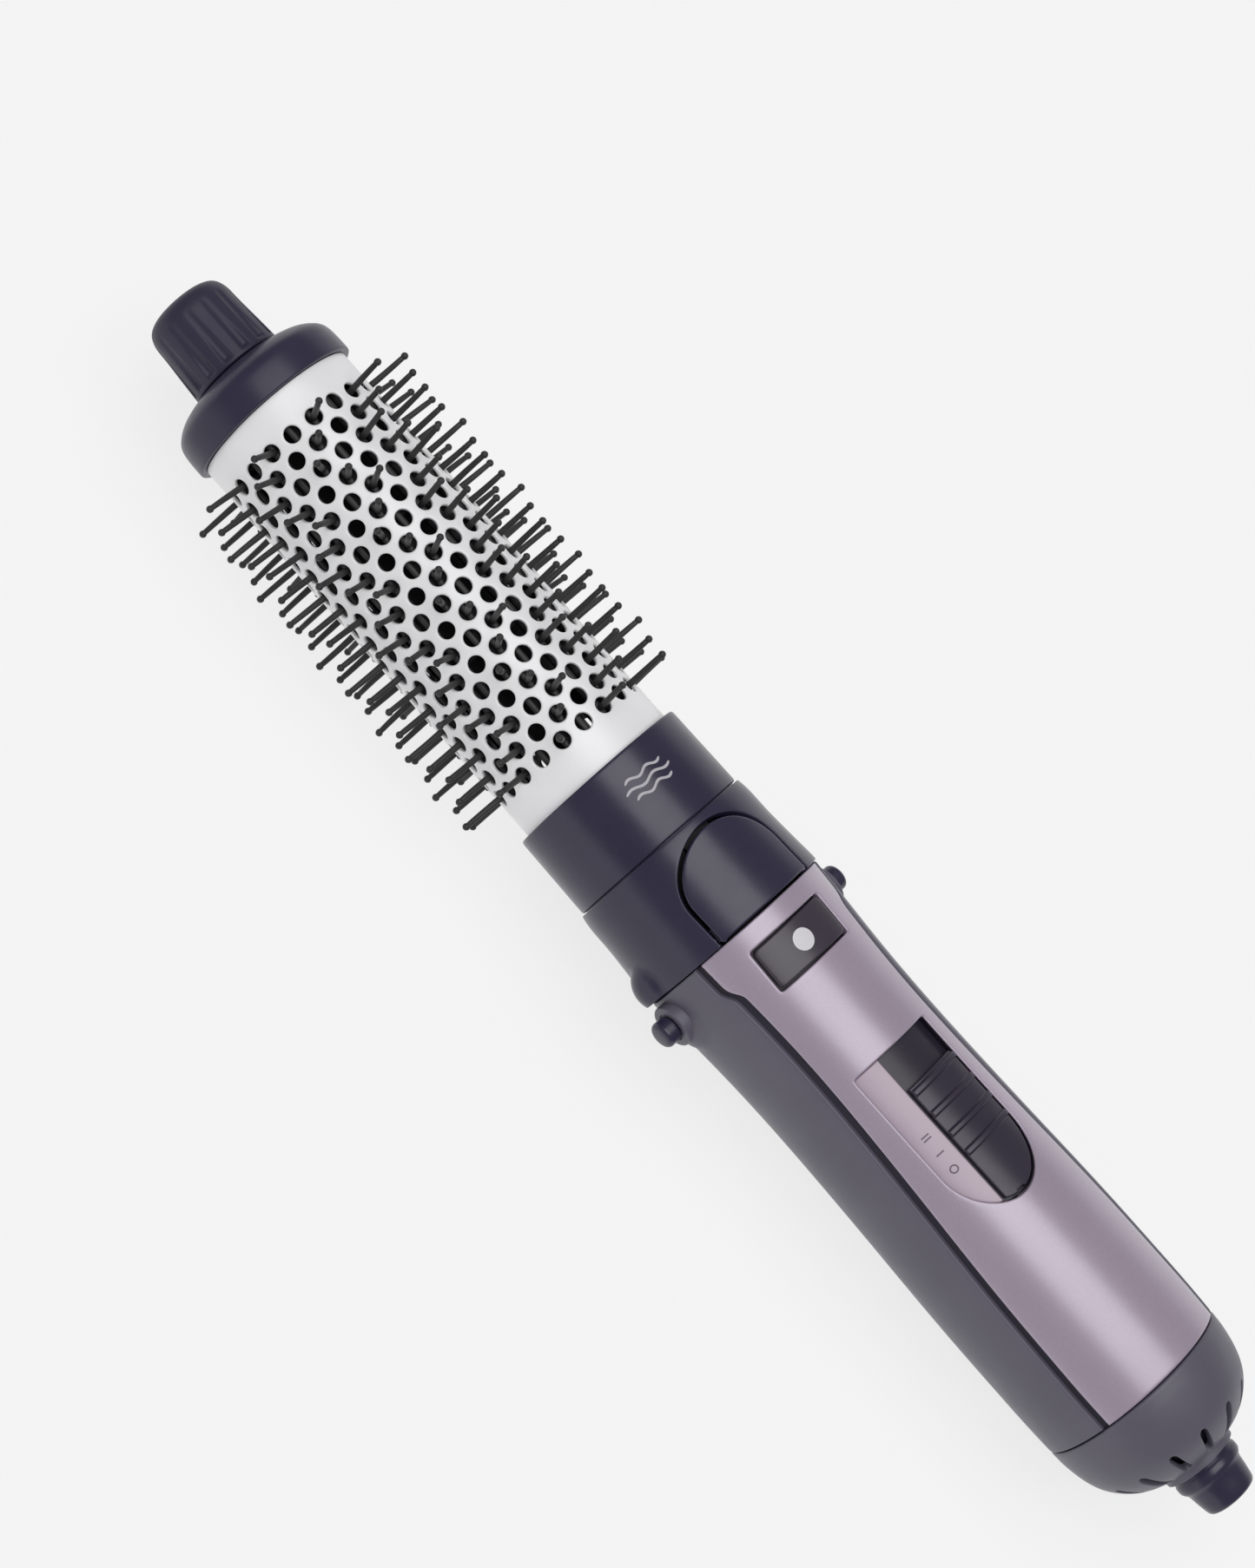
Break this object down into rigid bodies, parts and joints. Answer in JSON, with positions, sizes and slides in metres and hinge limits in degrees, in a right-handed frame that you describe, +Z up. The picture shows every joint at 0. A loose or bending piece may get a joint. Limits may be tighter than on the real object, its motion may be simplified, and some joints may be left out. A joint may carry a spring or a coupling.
{
  "type": "hot air brush",
  "caption": "Round hot air brush: perforated barrel with nylon pins and ribbed cool tip on a pull-off head, and a two-shell handle with slide switch, heater and fan.",
  "frame": {"origin": "on the table under the middle of the brush's length: the brush lies on its pins, Z = 0 is the lowest pin ends", "axes": "+X along the brush axis from the tail to the cool tip, +Y to the left, +Z up, the side with the slide switch"},
  "size_m": [0.3324, 0.0576, 0.0577],
  "materials": {
    "knob_plastic": "satin dark plum-grey, heat resistant",
    "barrel_metal": "bright satin aluminium",
    "bristle_nylon": "black nylon pins",
    "inner_nylon": "black heat-resistant moulding",
    "steel": "zinc-plated steel",
    "dark_plastic": "satin dark plum-grey moulding",
    "spring_steel": "blackened spring steel",
    "lilac_shell": "lilac metallic lacquer",
    "grey_shell": "satin mid-grey plastic",
    "button_plastic": "dark plum-grey plastic",
    "mark_white": "white inlay",
    "label": "pale lilac strip",
    "slider_plastic": "satin dark grey plastic",
    "board": "printed circuit board",
    "black_part": "black electrical part",
    "mica": "mica board",
    "heater_wire": "resistance wire",
    "brass": "brass",
    "magnet": "ferrite"
  },
  "bodies": {
    "handle": {"outlet_spigot": "inner_nylon", "outlet_grille": "inner_nylon", "latch_spring": "spring_steel", "latch_rivets": "spring_steel", "nose_ring": "dark_plastic", "pivot_pins": "dark_plastic", "front_shell": "lilac_shell", "rear_shell": "grey_shell", "housing_screws": "steel", "button_spring": "steel", "switch_label_strip": "label", "switch_track": "slider_plastic", "circuit_board": "board", "switch_body": "black_part", "cool_switch": "black_part", "rectifier_diodes": "black_part", "heater_tube": "mica", "heater_former": "mica", "heater_coils": "heater_wire", "thermostat": "brass", "thermal_fuse": "steel", "motor_mount": "inner_nylon", "motor_can": "steel", "motor_end_cap": "black_part", "motor_magnets": "magnet", "tail_cap": "grey_shell", "inlet_filter": "steel", "swivel_retainer": "inner_nylon", "cord_clamp": "inner_nylon", "clamp_screws": "steel"},
    "brush_head": {"cool_tip_knob": "knob_plastic", "barrel_end_cap": "knob_plastic", "barrel": "barrel_metal", "bristle_strips_long": "bristle_nylon", "bristle_strips_short": "bristle_nylon", "bristle_cage": "inner_nylon", "tip_screw": "steel", "head_collar": "dark_plastic"},
    "release_key": {"release_key": "dark_plastic"},
    "cool_button": {"cool_button": "button_plastic", "cool_button_mark": "mark_white"},
    "switch_slider": {"switch_slider": "slider_plastic"},
    "fan": {"fan_impeller": "inner_nylon", "motor_armature": "steel"},
    "cord_swivel": {"cord_swivel": "dark_plastic"}
  },
  "joints": [
    {"name": "head_pull", "type": "slide", "parent": "handle", "child": "brush_head", "axis": [1, 0, 0], "range_m": [0, 0.06], "deforming": ["latch_spring"]},
    {"name": "release_key_press", "type": "hinge", "parent": "handle", "child": "release_key", "pos_m": [-0.0157, 0, 0.02745], "axis": [0, 1, 0], "range_deg": [0, 2], "stiffness_Nm_per_rad": 0.6, "deforming": ["latch_spring"]},
    {"name": "cool_button_press", "type": "slide", "parent": "handle", "child": "cool_button", "axis": [0, 0, -1], "range_m": [0, 0.0014], "stiffness_N_per_m": 400, "deforming": ["button_spring"]},
    {"name": "switch_slide", "type": "slide", "parent": "handle", "child": "switch_slider", "axis": [1, 0, 0], "range_m": [0, 0.0084]},
    {"name": "fan_spin", "type": "hinge", "parent": "handle", "child": "fan", "pos_m": [-0.1062, 0, 0.02885], "axis": [1, 0, 0], "continuous": true},
    {"name": "cord_swivel_turn", "type": "hinge", "parent": "handle", "child": "cord_swivel", "pos_m": [-0.1512, 0, 0.02885], "axis": [1, 0, 0], "continuous": true}
  ]
}
